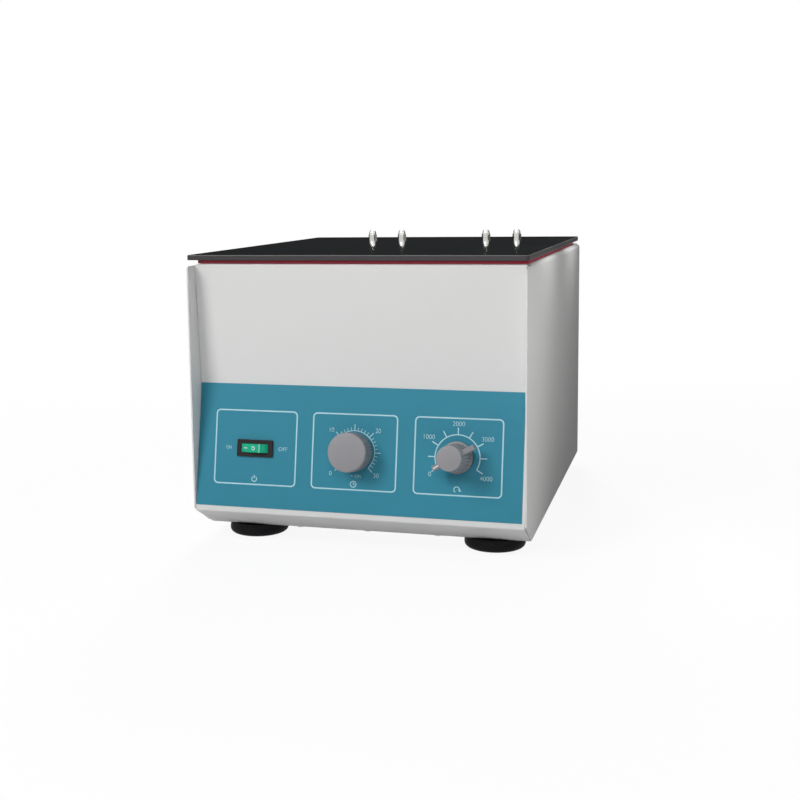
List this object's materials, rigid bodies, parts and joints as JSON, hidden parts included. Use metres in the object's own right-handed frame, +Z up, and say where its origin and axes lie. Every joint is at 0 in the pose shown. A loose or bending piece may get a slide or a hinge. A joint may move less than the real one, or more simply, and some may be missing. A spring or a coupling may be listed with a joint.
{
  "type": "bench centrifuge",
  "caption": "Bench centrifuge: sheet-metal housing with a sloping control panel, hinged flat lid, tube rotor on a damped motor, timer and speed knobs, power rocker.",
  "frame": {"origin": "on the surface it stands on, under the middle of its width and of its overall depth", "axes": "+Z up, the control panel faces -Y, +X to the right seen from the front"},
  "size_m": [0.2846, 0.4082, 0.2514],
  "materials": {
    "housing_paint": "off-white powder coat",
    "label_print": "satin printed film, teal",
    "zinc_sheet": "zinc-plated sheet",
    "bowl_steel": "spun stainless steel",
    "fastener_steel": "zinc-plated steel",
    "bright_fastener": "polished nickel plate",
    "foot_rubber": "matt moulded rubber",
    "damper_rubber": "matt moulded rubber",
    "seal_rubber": "soft dark red sponge",
    "motor_paint": "dark grey enamel",
    "motor_casting": "die-cast",
    "bearing_steel": "ground steel",
    "iron_core": "laminated core with windings",
    "commutator_brass": "turned copper alloy",
    "holder_plastic": "moulded phenolic",
    "brush_carbon": "pressed carbon",
    "shaft_steel": "ground steel",
    "rotor_alloy": "machined and anodised",
    "sleeve_alloy": "bright drawn",
    "knob_grey": "satin moulded grey",
    "control_case": "moulded case",
    "switch_black": "semi-gloss moulded",
    "rocker_green": "translucent green",
    "board_green": "glass-filled board",
    "capacitor_case": "moulded case",
    "sink_alloy": "black anodised",
    "inlet_black": "moulded nylon",
    "pin_metal": "plated brass",
    "lid_black": "glossy black sheet"
  },
  "bodies": {
    "body": {"housing_shell": "housing_paint", "front_panel": "housing_paint", "control_label": "label_print", "base_plate": "zinc_sheet", "rear_panel": "housing_paint", "chamber_bowl": "bowl_steel", "bowl_screws": "fastener_steel", "base_screws": "fastener_steel", "rear_screws": "fastener_steel", "foot_front_left": "foot_rubber", "foot_front_right": "foot_rubber", "foot_rear_left": "foot_rubber", "foot_rear_right": "foot_rubber", "foot_screws": "fastener_steel", "foot_nuts": "fastener_steel", "motor_posts": "fastener_steel", "motor_dampers": "damper_rubber", "motor_flange": "zinc_sheet", "motor_bolts": "fastener_steel", "motor_nuts": "fastener_steel", "motor_can": "motor_paint", "collar_screws": "fastener_steel", "motor_end_bell": "motor_casting", "bearings": "bearing_steel", "stator": "iron_core", "brush_holders": "holder_plastic", "carbon_brushes": "brush_carbon", "spindle_boot": "damper_rubber", "timer_body": "control_case", "speed_pot": "zinc_sheet", "panel_nuts": "fastener_steel", "switch_body": "switch_black", "control_board": "board_green", "board_standoffs": "pin_metal", "filter_capacitors": "capacitor_case", "heat_sink": "sink_alloy", "power_inlet": "inlet_black", "inlet_pins": "pin_metal", "fuse_holder": "inlet_black", "fuse_cap": "inlet_black", "hinge_leaves_rear": "bright_fastener", "hinge_screws": "fastener_steel", "hinge_pins": "bearing_steel"},
    "rotor": {"spindle": "shaft_steel", "armature": "iron_core", "commutator": "commutator_brass", "rotor_head": "rotor_alloy", "tube_sleeves": "sleeve_alloy", "rotor_nut": "rotor_alloy"},
    "timer_control": {"timer_knob": "knob_grey", "timer_shaft": "shaft_steel"},
    "speed_control": {"speed_knob": "knob_grey", "speed_shaft": "shaft_steel"},
    "power_rocker": {"switch_rocker": "rocker_green"},
    "lid": {"lid_plate": "lid_black", "lid_seal": "seal_rubber", "hinge_leaves_lid": "bright_fastener", "lid_screws": "fastener_steel", "cap_nuts": "bright_fastener"}
  },
  "joints": [
    {"name": "lid_hinge", "type": "hinge", "parent": "body", "child": "lid", "pos_m": [0, 0.20109, 0.2379], "axis": [-1, 0, 0], "range_deg": [0, 100]},
    {"name": "rotor_spin", "type": "hinge", "parent": "body", "child": "rotor", "pos_m": [0, -0.0171, 0.1315], "axis": [0, 0, 1], "continuous": true},
    {"name": "timer_turn", "type": "hinge", "parent": "body", "child": "timer_control", "pos_m": [-0.00195, -0.16774, 0.08311], "axis": [0, -0.9818, 0.1899], "range_deg": [-270, 45]},
    {"name": "speed_turn", "type": "hinge", "parent": "body", "child": "speed_control", "pos_m": [0.0834, -0.16785, 0.08252], "axis": [0, -0.9818, 0.1899], "range_deg": [-240, 0]},
    {"name": "power_rock", "type": "hinge", "parent": "body", "child": "power_rocker", "pos_m": [-0.0873, -0.16412, 0.0818], "axis": [0, 0.1899, 0.9818], "range_deg": [0, 28]}
  ]
}
